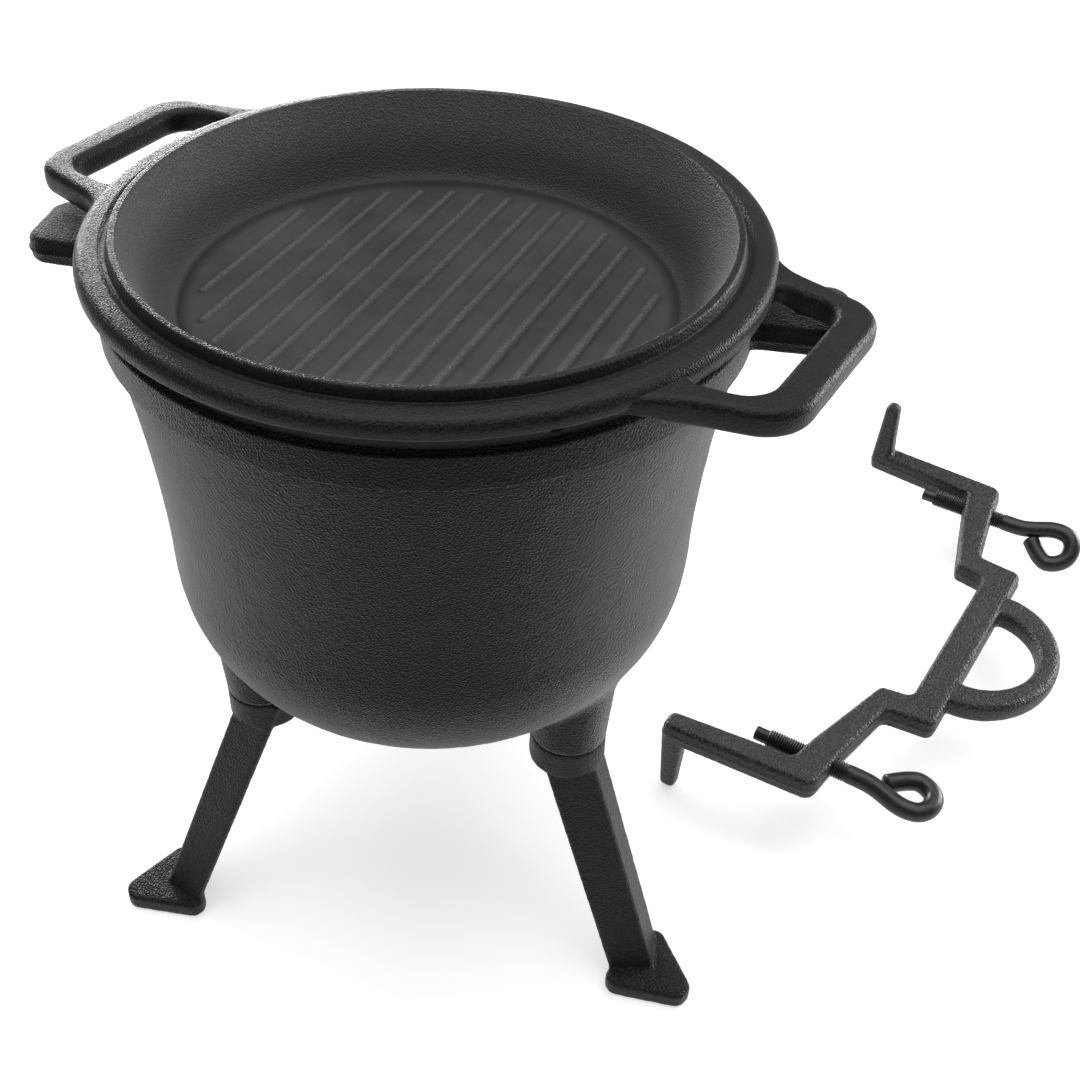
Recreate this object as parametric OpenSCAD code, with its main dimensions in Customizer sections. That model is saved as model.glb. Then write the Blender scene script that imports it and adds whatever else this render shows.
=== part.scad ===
// Cast-iron campfire kettle on three bolted legs, with a ribbed grill-pan lid
// and a separate hanging clamp that lies on the ground beside it.
// Millimetres. Z is up, the ground is z = 0 and the pot's axis is the Z axis.
// The clamp's beam lies along Y, to the +X +Y side of the pot, level and standing on one hook.

/* [Pot] */
// Height of the pot's rim above the ground
rim_z = 373.5; // [368:0.5:378]
// Outer radius of the band round the rim
rim_r = 141; // [139:0.5:143]
// Inner radius of the pot's mouth
mouth_r = 131; // [129:0.5:133]
// Height of the band round the rim
band_h = 17; // [12:1:22]
// Outer radius of the wall just under the band
shoulder_r = 136; // [134:0.5:138]
// Outer radius of the bowl where it begins to round under
belly_r = 125; // [122:0.5:128]
// Height where the bowl begins to round under
belly_z = 238; // [230:1:245]
// Depth of the rounded bottom below that height
bottom_depth = 88; // [84:1:92]
// Wall thickness of the pot
wall = 5; // [4:0.5:6]

/* [Pot lugs] */
// Turn of the pot's lugs about its axis from the X axis
lug_turn = 21.5; // [18:0.5:24]
// Distance from the axis to a lug's outer end
lug_reach = 178; // [174:1:182]
// Half width of a lug
lug_half = 20; // [18:0.5:22]
// Thickness of a lug
lug_t = 12; // [10:0.5:14]

/* [Lid] */
// Outer radius of the lid's flange
flange_r = 146.5; // [145:0.5:148]
// Height of the flange's underside above the ground
flange_z = 383; // [381:0.5:386]
// Thickness of the flange
flange_t = 8.5; // [7:0.5:10]
// Inner radius of the pan at its lip
pan_mouth_r = 128.5; // [127:0.5:130]
// Height of the lip above the flange
lip_h = 4; // [2:0.5:5]
// Inner radius of the pan's floor
pan_floor_r = 111.5; // [108:0.5:114]
// Depth of the pan from its lip to its floor
pan_depth = 38; // [34:1:41]
// Thickness of the pan's floor
pan_floor_t = 5; // [4:0.5:6]
// Number of grill ribs
rib_count = 14; // [10:1:16]
// Spacing of the grill ribs
rib_pitch = 13.7; // [12:0.1:14]
// Width of a grill rib
rib_w = 3.8; // [3:0.2:6]
// Height of a grill rib
rib_h = 2; // [1:0.5:4]
// Turn of the lid's handles from the X axis
lid_turn = 1; // [-5:1:5]
// Turn of the ribs from the Y axis
rib_turn = 8; // [0:1:10]

/* [Lid handles] */
// Distance from the axis to a lid handle's outer edge
lid_handle_reach = 186.5; // [182:0.5:190]
// Thickness of a lid handle
lid_handle_t = 12; // [9:0.5:12]

/* [Legs] */
// Turn of the first leg from the X axis
leg_turn = -8.5; // [-20:0.5:10]
// Distance from the axis to a leg's bolt
boss_pitch_r = 91; // [86:1:94]
// Radius of the round head of a leg, and of its boss
head_r = 19; // [17:0.5:20]
// Height of the boss's lower face above the ground
boss_z = 149; // [144:1:152]
// Thickness of the leg's head
head_t = 17; // [12:0.5:19]
// Distance from the axis to the leg's ridge at the ground
ridge_foot_r = 162.5; // [156:0.5:168]
// Distance from the axis to the leg's ridge at the boss
ridge_top_r = 103; // [100:0.5:108]
// Length of each flange of a leg's angle section
angle_len = 23.5; // [20:0.5:26]
// Angle between the two flanges
angle_open = 97; // [88:1:100]
// Turn of the angle section about its ridge
angle_turn = -7.4; // [-10:0.2:0]
// Wall thickness of a leg's angle section
angle_t = 5; // [4:0.5:6]
// Thickness of a foot pad
pad_t = 10; // [7:0.5:12]
// Distance from the axis to a foot pad's outer end
pad_reach = 177; // [172:1:182]

/* [Clamp] */
// Thickness of the clamp casting
clamp_t = 15; // [13:0.5:17]
// Width of the clamp's arms
bar_w = 14; // [12:0.5:15]
// Distance from the clamp's middle to the centre of each arm
arm_y = 163; // [160:1:166]
// Distance from the hooks' centre line to the corners
arm_h = 88; // [82:1:92]
// Length of each hook, from the middle of the casting's thickness
hook_len = 48; // [40:1:52]
// Half length of the raised middle bar
middle_half = 83; // [78:1:88]
// Distance from the hooks' centre line to the outer side of the middle bar
middle_h = 129; // [126:1:134]
// Width of the middle bar
middle_w = 18; // [16:0.5:20]
// Half width of the hanging ring
ring_half = 57; // [50:1:60]
// Height of the hanging ring past the middle bar
ring_h = 48; // [44:1:54]
// Width of the hanging ring's bar
ring_w = 14; // [12:0.5:18]
// Place of the hooks' centre line along X
clamp_x = 99; // [96:1:110]
// Place of the clamp's middle along Y
clamp_y = 270; // [266:1:280]

/* [Eye screws] */
// Distance from the clamp's middle to each eye screw
screw_y = 140; // [138:1:142]
// Outer radius of the screw's thread
thread_r = 5.85; // [5.8:0.01:5.88]
// Radius of the plain rod
rod_r = 5.6; // [5:0.1:5.7]
// Middle radius of the eye
eye_r = 11.3; // [10:0.1:13]
// Offset of the eye's centre from the screw's axis
eye_offset = 5.5; // [4:0.5:7]
// Radius of the screw's blunt point
point_r = 4.3; // [3.6:0.1:4.6]
// Length of the screw's blunt point
point_len = 8; // [5:0.5:9]

/* [Hidden] */
$fn = 96;
eps = 0.01;

// Clearance between the lid's seat and the rim
seat_gap = 0.3;
// How far the seat reaches inside the pot's mouth
seat_step = 1.2;
// The bowl's bottom is a superellipse of this exponent
bottom_power = 2.4;
// The wall above the belly flares with this power of the height
flare_power = 1.8;

band_z = rim_z - band_h;
lip_z = flange_z + flange_t + lip_h;
pan_floor_z = lip_z - pan_depth;
flange_round = 3.5;
pan_fillet = 9;
lip_w = 4.5;
rib_reach = 99;
// Thickness of the pan's wall, measured outwards, and width of a handle's outer bar
pan_wall_t = 5.5;
handle_bar = 16.5;

// Leg bolts: M8 with a washer
bolt_r = 4;
bolt_flat = 13;
bolt_head_h = 5.3;
washer_r = 8;
washer_t = 1.6;
bolt_grip = 13;
bolt_play = 0.5;
tapped_r = 4.05;
tapped_len = 15;
// Room cut into the angle bar for the washer, the bolt's head and a spanner
spot_gap = 0.7;
spot_len = 14;
leg_angles = [leg_turn, leg_turn + 120, leg_turn + 240];

// Eye screws: places along X from the hooks' centre line
point_x = 41;
thread_end_x = 99;
eye_x = 135.4;
far_eye_turn = 225;
bore_r = 5.93;
bore_from_x = 60;
bore_len = 40;
// The plain rod ends inside the eye's ring, at this share of the ring's radius
eye_join = 0.87;

// Each hook tapers from its root to its tip
hook_root_r = 7.4;
hook_tip_r = 5.4;

// How far the corners of a cast outline are cut back at its top and bottom
draft_inset = 1.2;
// Height of the boss's cone, which ends inside the bowl
boss_h = 50;
// Growth of the boss's radius over that height
boss_flare = 3.5;

// ---- outlines ----------------------------------------------------------

function unit(v) = v / norm(v);

// Arc that rounds the corner q between its neighbours p and s to a radius r.
function corner(p, q, s, r, steps) =
    let (
        u = unit(p - q),
        w = unit(s - q),
        half = acos(u * w) / 2,
        centre = q + unit(u + w) * r / sin(half),
        from = q + u * r / tan(half) - centre,
        to = q + w * r / tan(half) - centre,
        start = atan2(from.y, from.x),
        sweep = (atan2(to.y, to.x) - start + 540) % 360 - 180
    )
    [for (i = [0:steps]) centre + r * [cos(start + sweep * i / steps), sin(start + sweep * i / steps)]];

// Closed outline through corners given as [x, y, radius].
function rounded(corners, steps = 5) =
    let (count = len(corners), at = [for (c = corners) [c[0], c[1]]])
    [for (i = [0:count - 1])
        each corner(at[(i + count - 1) % count], at[i], at[(i + 1) % count], corners[i][2], steps)];

// A half outline, listed from the axis outwards, and its mirror image in the line y = 0.
function mirrored_y(half) = concat(
    half, [for (i = [len(half) - 1:-1:0]) [half[i][0], -half[i][1], half[i][2]]]);

// ---- pot ---------------------------------------------------------------

// Side of the bowl from the rim down to the middle of the bottom, moved inwards by skin.
function bowl_side(skin, top_r) = concat(
    [for (i = [8:-1:1])
        let (t = i / 8)
        [belly_r - skin + (top_r - belly_r + skin) * pow(t, flare_power), belly_z + t * (band_z - 4 - belly_z)]],
    [for (i = [0:16])
        let (a = 90 * i / 16)
        [(belly_r - skin) * pow(cos(a), 2 / bottom_power),
         belly_z - (bottom_depth - skin) * pow(sin(a), 2 / bottom_power)]]);

module bowl_solid() {
    rotate_extrude()
        polygon(concat(
            [[0, rim_z], [rim_r - 1.2, rim_z], [rim_r, rim_z - 1.2], [rim_r - 0.6, band_z]],
            bowl_side(0, shoulder_r)));
}

module bowl_hollow() {
    rotate_extrude()
        polygon(concat(
            [[0, rim_z + 5], [mouth_r, rim_z + 5], [mouth_r, band_z + 6]],
            bowl_side(wall, mouth_r)));
}

// Outline of a lug, moved inwards by inset.
module lug_plan(inset) {
    polygon(rounded(mirrored_y([
        [rim_r - 16, lug_half + 1.5 - inset, 3], [lug_reach - inset, lug_half - inset, 10]])));
}

module pot_lug() {
    translate([0, 0, rim_z - 0.5 - lug_t])
        linear_extrude(lug_t)
            lug_plan(draft_inset);
    translate([0, 0, rim_z - 0.5 - lug_t * 0.7])
        linear_extrude(lug_t * 0.4)
            lug_plan(0);
}

module pot_body() {
    color("dimgray")
        difference() {
            union() {
                bowl_solid();
                for (side = [0, 180])
                    rotate([0, 0, lug_turn + side])
                        pot_lug();
                for (angle = leg_angles)
                    rotate([0, 0, angle])
                        translate([boss_pitch_r, 0, boss_z])
                            cylinder(r1 = head_r, r2 = head_r + boss_flare, h = boss_h);
            }
            bowl_hollow();
            for (angle = leg_angles)
                rotate([0, 0, angle])
                    translate([boss_pitch_r, 0, boss_z - 1])
                        cylinder(r = tapped_r, h = tapped_len);
        }
}

// ---- lid ---------------------------------------------------------------

// Radius of the pan's inner wall at a height z.
function pan_wall_r(z) =
    pan_floor_r + (pan_mouth_r - pan_floor_r) * (z - pan_floor_z) / pan_depth;

module lid_section() {
    top = flange_z + flange_t;
    fillet = [for (a = [0:15:60])
        [pan_floor_r - pan_fillet * 0.6 + pan_fillet * sin(a) * 0.8,
         pan_floor_z + pan_fillet * (1 - cos(a)) * 0.8]];
    polygon(concat(
        [[0, pan_floor_z - pan_floor_t], [0, pan_floor_z]],
        fillet,
        [[pan_mouth_r, lip_z - 0.8], [pan_mouth_r + 0.8, lip_z],
         [pan_mouth_r + lip_w - 1, lip_z], [pan_mouth_r + lip_w, top]],
        [for (a = [90:-22.5:0]) [flange_r - flange_round + flange_round * cos(a),
                                 top - flange_round + flange_round * sin(a)]],
        [[flange_r, flange_z + 1.5], [flange_r - 1.5, flange_z],
         [rim_r - 3, flange_z], [rim_r - 3, rim_z + seat_gap],
         [mouth_r - seat_step, rim_z + seat_gap],
         [pan_wall_r(rim_z) + pan_wall_t, rim_z - 4],
         [pan_wall_r(pan_floor_z) + pan_wall_t - 1, pan_floor_z],
         [pan_floor_r - 3, pan_floor_z - pan_floor_t]]));
}

module grill_ribs() {
    rotate([0, 0, rib_turn])
        for (i = [0:rib_count - 1]) {
            x = (i - (rib_count - 1) / 2) * rib_pitch;
            half = sqrt(rib_reach * rib_reach - x * x);
            translate([x, -half, pan_floor_z])
                rotate([-90, 0, 0])
                    linear_extrude(2 * half)
                        polygon([[-rib_w / 2, 1], [-rib_w * 0.42, -rib_h * 0.65], [-rib_w * 0.2, -rib_h],
                                 [rib_w * 0.2, -rib_h], [rib_w * 0.42, -rib_h * 0.65], [rib_w / 2, 1]]);
        }
}

// Loop handle in plan: a tapering outline, and a wide gap that runs in to the flange.
module loop_plan(inset) {
    outer = mirrored_y([
        [rim_r - 13, 60 - inset, 3], [lid_handle_reach - inset, 45 - inset, 14]]);
    gap = mirrored_y([
        [rim_r - 3, 45 + inset, 3], [lid_handle_reach - handle_bar + inset, 38 + inset, 9]]);
    difference() {
        polygon(rounded(outer));
        polygon(rounded(gap));
        circle(r = rim_r + 1);
    }
}

module lid_handle() {
    top = flange_z + flange_t - flange_round;
    translate([0, 0, top - lid_handle_t])
        linear_extrude(lid_handle_t)
            loop_plan(draft_inset);
    translate([0, 0, top - lid_handle_t + 1.5])
        linear_extrude(lid_handle_t - 3)
            loop_plan(0);
}

module lid_grill_pan() {
    color("dimgray") {
        rotate_extrude()
            lid_section();
        grill_ribs();
        for (side = [0, 180])
            rotate([0, 0, lid_turn + side])
                lid_handle();
    }
}

// ---- legs --------------------------------------------------------------

// Plan of a leg's angle section, with its ridge at the origin and its flanges towards -X.
module angle_plan() {
    first = 180 - angle_open / 2 + angle_turn;
    second = first + angle_open;
    middle = first + angle_open / 2;
    tip_a = angle_len * [cos(first), sin(first)];
    tip_b = angle_len * [cos(second), sin(second)];
    polygon([
        [0, 0], tip_a, tip_a + angle_t * [cos(first + 90), sin(first + 90)],
        angle_t / sin(angle_open / 2) * [cos(middle), sin(middle)],
        tip_b + angle_t * [cos(second - 90), sin(second - 90)], tip_b]);
}

// One leg, standing out along +X: a round head, an angle bar with its ridge outwards, and a pad.
module leg() {
    lean = atan((ridge_foot_r - ridge_top_r) / boss_z);
    below = 20;
    color("#2b2b2b")
        difference() {
            union() {
                translate([boss_pitch_r, 0, boss_z - head_t])
                    cylinder(r = head_r, h = head_t);
                intersection() {
                    translate([ridge_foot_r, 0, 0])
                        rotate([0, -lean, 0])
                            translate([0, 0, -below])
                                linear_extrude(boss_z * 1.4)
                                    angle_plan();
                    translate([boss_pitch_r - 30, -60, pad_t / 2])
                        cube([120, 120, boss_z - pad_t / 2 - 0.5]);
                }
                linear_extrude(pad_t)
                    polygon(rounded(mirrored_y([
                        [ridge_foot_r - 22, 27, 7], [pad_reach + 4, 5, 7]])));
            }
            translate([boss_pitch_r, 0, boss_z - head_t - 1])
                cylinder(r = bolt_r + bolt_play, h = head_t + 2);
            translate([boss_pitch_r, 0, boss_z - head_t - spot_len])
                cylinder(r = washer_r + spot_gap, h = spot_len);
        }
}

module leg_bolt() {
    under = boss_z - head_t - washer_t;
    color("#3c3c3e")
        translate([boss_pitch_r, 0, under]) {
            translate([0, 0, -bolt_head_h])
                cylinder(r = bolt_flat / sqrt(3), h = bolt_head_h, $fn = 6);
            translate([0, 0, -eps])
                cylinder(r = bolt_r, h = washer_t + head_t + bolt_grip);
        }
}

module leg_washer() {
    color("#4a4a4c")
        translate([boss_pitch_r, 0, boss_z - head_t - washer_t])
            difference() {
                cylinder(r = washer_r, h = washer_t);
                translate([0, 0, -1])
                    cylinder(r = bolt_r + 0.2, h = washer_t + 2);
            }
}

// ---- clamp -------------------------------------------------------------

// Half of the clamp's outline as [height, distance from the middle, radius].
clamp_half = [
    [middle_h, middle_half, 6],
    [arm_h + 12, middle_half + 3, 4],
    [arm_h + 3, screw_y - 2, 18],
    [arm_h, arm_y + 4, 8],
    [-bar_w / 2, arm_y + bar_w / 2 + 2, 5],
    [-bar_w / 2, arm_y - bar_w / 2 + 1, 5],
    [arm_h - 20, arm_y - 13, 3],
    [arm_h - 16, screw_y - 9, 5],
    [arm_h + 1, middle_half - 15, 4],
    [middle_h - middle_w - 3, middle_half - 18, 4]
];

module clamp_plan() {
    polygon(rounded(mirrored_y(clamp_half), 4));
    difference() {
        intersection() {
            translate([middle_h - 4, -ring_half])
                square([ring_h + 8, 2 * ring_half]);
            ring_disc(ring_half, ring_h);
        }
        intersection() {
            translate([middle_h, -ring_half])
                square([ring_h + 8, 2 * ring_half]);
            ring_disc(ring_half - ring_w * 1.4, ring_h - ring_w);
        }
    }
}

// Half ellipse on the middle bar's outer side, of a half width and a height.
module ring_disc(half, height) {
    polygon([for (a = [0:6:354]) [middle_h + height * cos(a), half * sin(a)]]);
}

// Places children in the clamp's frame: X from the hooks' centre line, Y and Z from its middle.
module in_clamp() {
    translate([clamp_x, clamp_y, hook_len])
        children();
}

// The hooks stand square to the casting: the near one points down and the far one up.
module hook(side) {
    translate([0, side * (arm_y + 1), 0])
        rotate([side < 0 ? 180 : 0, 0, 0])
            cylinder(r1 = hook_root_r, r2 = hook_tip_r, h = hook_len);
}

module clamp_bracket() {
    color("#303030")
        in_clamp()
            difference() {
                union() {
                    translate([0, 0, -clamp_t / 2])
                        linear_extrude(clamp_t)
                            clamp_plan();
                    for (side = [-1, 1])
                        hook(side);
                }
                for (side = [-1, 1])
                    translate([bore_from_x, side * screw_y, 0])
                        rotate([0, 90, 0])
                            cylinder(r = bore_r, h = bore_len);
            }
}

// Threaded shank, plain rod and eye, lying along +X. The near eye lies level, and the far
// one is turned about its screw.
module eye_screw(side) {
    color("#1c1c1c")
        in_clamp()
            translate([0, side * screw_y, 0])
                rotate([side < 0 ? 0 : far_eye_turn, 0, 0]) {
                translate([point_x + point_len, 0, 0])
                    rotate([0, 90, 0])
                        cylinder(r = thread_r, h = thread_end_x - point_x - point_len);
                translate([thread_end_x - eps, 0, 0])
                    rotate([0, 90, 0])
                        cylinder(r = rod_r, h = eye_x - eye_r * eye_join - thread_end_x);
                translate([eye_x, eye_offset, 0])
                    rotate_extrude($fn = 72)
                        translate([eye_r, 0])
                            circle(r = rod_r, $fn = 48);
            }
}

// Blunt point of the screw, which presses on the lid's flange.
module screw_point(side) {
    color("#1c1c1c")
        in_clamp()
            translate([point_x, side * screw_y, 0])
                rotate([0, 90, 0])
                    cylinder(r = point_r, h = point_len);
}

pot_body();
lid_grill_pan();
rotate([0, 0, leg_angles[0]]) leg();  // leg_right
rotate([0, 0, leg_angles[1]]) leg();  // leg_back
rotate([0, 0, leg_angles[2]]) leg();  // leg_left
rotate([0, 0, leg_angles[0]]) leg_bolt();  // leg_bolt_right
rotate([0, 0, leg_angles[1]]) leg_bolt();  // leg_bolt_back
rotate([0, 0, leg_angles[2]]) leg_bolt();  // leg_bolt_left
rotate([0, 0, leg_angles[0]]) leg_washer();  // leg_washer_right
rotate([0, 0, leg_angles[1]]) leg_washer();  // leg_washer_back
rotate([0, 0, leg_angles[2]]) leg_washer();  // leg_washer_left
clamp_bracket();
eye_screw(-1);  // eye_screw_near
eye_screw(1);  // eye_screw_far
screw_point(-1);  // screw_point_near
screw_point(1);  // screw_point_far
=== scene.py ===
# Campfire kettle: cast pot on three bolted legs, grill-pan lid, and a hanging clamp beside it.
# Sizes below are in millimetres and repeat the CAD's; meshes are built in metres.
import math

import bmesh
import bpy
import numpy as np
from mathutils import Matrix, Vector, geometry, noise


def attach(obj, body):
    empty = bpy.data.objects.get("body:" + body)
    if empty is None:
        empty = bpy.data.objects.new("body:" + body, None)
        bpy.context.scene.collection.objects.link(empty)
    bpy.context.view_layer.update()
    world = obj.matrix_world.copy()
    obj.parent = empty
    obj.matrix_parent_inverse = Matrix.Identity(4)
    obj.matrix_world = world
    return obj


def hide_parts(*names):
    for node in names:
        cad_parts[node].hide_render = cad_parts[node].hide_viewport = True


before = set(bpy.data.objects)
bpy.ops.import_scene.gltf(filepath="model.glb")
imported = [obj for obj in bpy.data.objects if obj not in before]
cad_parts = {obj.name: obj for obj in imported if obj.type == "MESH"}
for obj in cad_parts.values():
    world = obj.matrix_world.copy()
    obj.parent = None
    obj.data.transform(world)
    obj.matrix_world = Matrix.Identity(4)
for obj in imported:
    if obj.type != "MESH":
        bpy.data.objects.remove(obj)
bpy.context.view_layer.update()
MM = 0.001

# Pot: heights from the floor, radii from its axis. The bottom is rounded by a superellipse of power
# BOWL_POWER, and the side flares as the height to the power FLARE.
RIM_Z, RIM_R, MOUTH_R, BAND_Z = 373.5, 141.0, 131.0, 356.5
SHOULDER_R, BELLY_R, BELLY_Z, BOTTOM = 136.0, 125.0, 238.0, 88.0
WALL, BOWL_POWER, FLARE = 5.0, 2.4, 1.8
# Leg bosses: they grow by BOSS_GROW for each millimetre up, into a fillet on the bowl
BOSS_R, BOSS_Z, HEAD_R, BOSS_GROW = 91.0, 149.0, 19.0, 3.5 / 50.0
FILLET_DOWN, FILLET_OUT = 7.5, 8.0
# Lugs, with the angle in degrees at which they stand, and the angle of each leg
LUG_TURN, LUG_REACH, LUG_HALF, LUG_T = 21.5, 178.0, 20.0, 12.0
LEG_TURNS = {"leg_right": -8.5, "leg_back": 111.5, "leg_left": 231.5}
# Lid: the pan, its flange, its ribs, and its handles, which hang HANDLE_DROP below the flange's top
FLANGE_R, FLANGE_Z, FLANGE_TOP, LIP_Z = 146.5, 383.0, 391.5, 395.5
PAN_MOUTH_R, PAN_FLOOR_R, FLOOR_Z = 128.5, 111.5, 357.5
RIBS, RIB_PITCH, RIB_W, RIB_H, RIB_REACH, RIB_TURN = 14, 13.7, 3.8, 2.0, 99.0, 8.0
LID_TURN, HANDLE_REACH, HANDLE_T, HANDLE_BAR, HANDLE_DROP = 1.0, 186.5, 12.0, 16.5, 3.5
# Legs: an angle section ANGLE_OPEN degrees wide, whose ridge leans in from RIDGE_FOOT to RIDGE_TOP. The
# section is turned by ANGLE_TURN, and it grows by LEG_GROW up to the head.
RIDGE_FOOT, RIDGE_TOP, ANGLE_LEN, ANGLE_T = 162.5, 103.0, 23.5, 5.0
ANGLE_OPEN, ANGLE_TURN, LEG_GROW = 97.0, -7.4, 0.10
PAD_T, PAD_REACH, HEAD_T, BOLT_HOLE_R = 10.0, 177.0, 17.0, 4.5
# Clamp, in its own frame: X from the hooks' centre line, Y and Z from its middle. Its arms reach ARM_Y
# to each side, and its middle and its ring stand further out.
CLAMP_AT = np.array([99.0, 270.0, 48.0])
CLAMP_T, ARM_Y, ARM_H = 15.0, 163.0, 88.0
HOOK_LEN, HOOK_ROOT, HOOK_TIP = 48.0, 7.3, 4.6
MIDDLE_HALF, MIDDLE_H, MIDDLE_W = 83.0, 129.0, 18.0
RING_HALF, RING_H, RING_W = 57.0, 48.0, 14.0
# Eye screws
SCREW_Y, THREAD_R, ROD_R, BORE_R = 140.0, 5.85, 5.6, 5.93
POINT_X, POINT_LEN, THREAD_END, PITCH, THREAD_DEPTH = 41.0, 8.0, 99.0, 1.5, 0.92
# The eye's rod: out along the screw, round the eye, and back against itself
EYE_LINE = [(THREAD_END - 1.5, 0), (THREAD_END + 2, 0), (106, 0), (112, -0.4), (118, -1.8), (124, -3.9),
            (130, -6.0), (136.5, -6.8), (142.6, -5.4), (146.6, -1.2), (147.9, 4.8), (146.4, 10.6),
            (141.6, 14.9), (135.5, 16.6), (130.2, 14.2), (126.2, 10.9), (123.0, 7.8), (120.8, 5.6)]
# Steps in a rounded edge and between two points of a smooth line
EDGE_STEPS, CURVE_STEPS = 6, 24
# Camera: place in metres, angles in degrees, lens in millimetres, and shift as a share of the frame
CAMERA_AT = (0.32185, -0.45359, 0.67695)
HEADING, LOOK_DOWN, ROLL = 122.2, 40.83, 1.247
LENS, SHIFT_X, SHIFT_Y = 48.28, 0.0422, 0.0327


# ---- camera ----------------------------------------------------------------

def add_camera():
    """Camera at the photograph's angle: its place, heading and pitch, a slight roll, and its lens."""
    heading, pitch, roll = math.radians(HEADING), math.radians(LOOK_DOWN), math.radians(ROLL)
    forward = Vector((math.cos(heading) * math.cos(pitch), math.sin(heading) * math.cos(pitch),
                      -math.sin(pitch)))
    level = Vector((math.sin(heading), -math.cos(heading), 0.0))
    upright = level.cross(forward)
    right = level * math.cos(roll) + upright * math.sin(roll)
    up = upright * math.cos(roll) - level * math.sin(roll)
    data = bpy.data.cameras.new("camera")
    data.sensor_width, data.lens = 36.0, LENS
    data.shift_x, data.shift_y = SHIFT_X, SHIFT_Y
    data.clip_start, data.clip_end = 0.01, 30.0
    cam = bpy.data.objects.new("camera", data)
    axes = Matrix((right, up, -forward)).transposed().to_4x4()
    cam.matrix_world = Matrix.Translation(CAMERA_AT) @ axes
    bpy.context.scene.collection.objects.link(cam)
    bpy.context.scene.camera = cam


# ---- outlines --------------------------------------------------------------

def rounded(corners, closed=True, step=9.0):
    """Outline through corners (x, y, radius), each turned in an arc of that radius."""
    out = []
    count = len(corners)
    for i, (x, y, r) in enumerate(corners):
        q = np.array([x, y], float)
        if r <= 0 or (not closed and i in (0, count - 1)):
            out.append(q)
            continue
        p = np.array(corners[(i - 1) % count][:2], float)
        s = np.array(corners[(i + 1) % count][:2], float)
        u, w = (p - q) / np.hypot(*(p - q)), (s - q) / np.hypot(*(s - q))
        # A corner that is all but straight needs no arc.
        if u @ w < -0.9999:
            out.append(q)
            continue
        half = math.acos(np.clip(u @ w, -1, 1)) / 2
        centre = q + (u + w) / np.hypot(*(u + w)) * r / math.sin(half)
        start, stop = q + u * r / math.tan(half) - centre, q + w * r / math.tan(half) - centre
        a = math.atan2(start[1], start[0])
        sweep = (math.atan2(stop[1], stop[0]) - a + 3 * math.pi) % (2 * math.pi) - math.pi
        n = max(2, int(abs(math.degrees(sweep)) / step) + 1)
        for k in range(n + 1):
            b = a + sweep * k / n
            out.append(centre + r * np.array([math.cos(b), math.sin(b)]))
    return np.array(out)


def resample(line, spacing, closed=False):
    """The same line with points about `spacing` apart, keeping its own corners."""
    pts = np.vstack([line, line[:1]]) if closed else line
    out = []
    for a, b in zip(pts[:-1], pts[1:]):
        n = max(1, int(round(np.linalg.norm(b - a) / spacing)))
        out.extend(a + (b - a) * k / n for k in range(n))
    if not closed:
        out.append(pts[-1])
    return np.array(out)


def inset(loop, d):
    """A closed anticlockwise loop moved inwards by d; a clockwise hole grows instead."""
    before, after = np.roll(loop, 1, 0), np.roll(loop, -1, 0)
    e1, e2 = loop - before, after - loop
    n1 = np.stack([-e1[:, 1], e1[:, 0]], 1) / np.maximum(np.linalg.norm(e1, axis=1), 1e-9)[:, None]
    n2 = np.stack([-e2[:, 1], e2[:, 0]], 1) / np.maximum(np.linalg.norm(e2, axis=1), 1e-9)[:, None]
    mid = n1 + n2
    mid /= np.maximum(np.linalg.norm(mid, axis=1), 1e-9)[:, None]
    return loop + mid * (d / np.maximum((mid * n1).sum(1), 0.5))[:, None]


def direction(a):
    """Unit vector at an angle in radians."""
    return np.array([math.cos(a), math.sin(a)])


def circle(x, r, count):
    """A ring of points round (x, 0)."""
    turns = np.linspace(0, 2 * np.pi, count, endpoint=False)
    return np.array([(x + r * math.cos(a), r * math.sin(a)) for a in turns])


def mirrored(half):
    """Corners (x, y, radius) followed by their mirror images across y = 0."""
    return half + [(x, -y, r) for x, y, r in reversed(half)]


def area(loop):
    """Signed area of a closed loop: above zero when it runs anticlockwise."""
    after = np.roll(loop, -1, 0)
    return 0.5 * float((loop[:, 0] * after[:, 1] - after[:, 0] * loop[:, 1]).sum())


def ccw(loop):
    """The same loop, run anticlockwise."""
    return loop if area(loop) > 0 else loop[::-1]


def inside(points, loop):
    """Which points lie inside a closed loop."""
    x, y = points[:, 0], points[:, 1]
    hit = np.zeros(len(points), bool)
    for a, b in zip(loop, np.roll(loop, -1, 0)):
        crosses = (a[1] > y) != (b[1] > y)
        with np.errstate(divide="ignore", invalid="ignore"):
            hit ^= crosses & (x < (b[0] - a[0]) * (y - a[1]) / (b[1] - a[1]) + a[0])
    return hit


# ---- mesh building ---------------------------------------------------------

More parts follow.
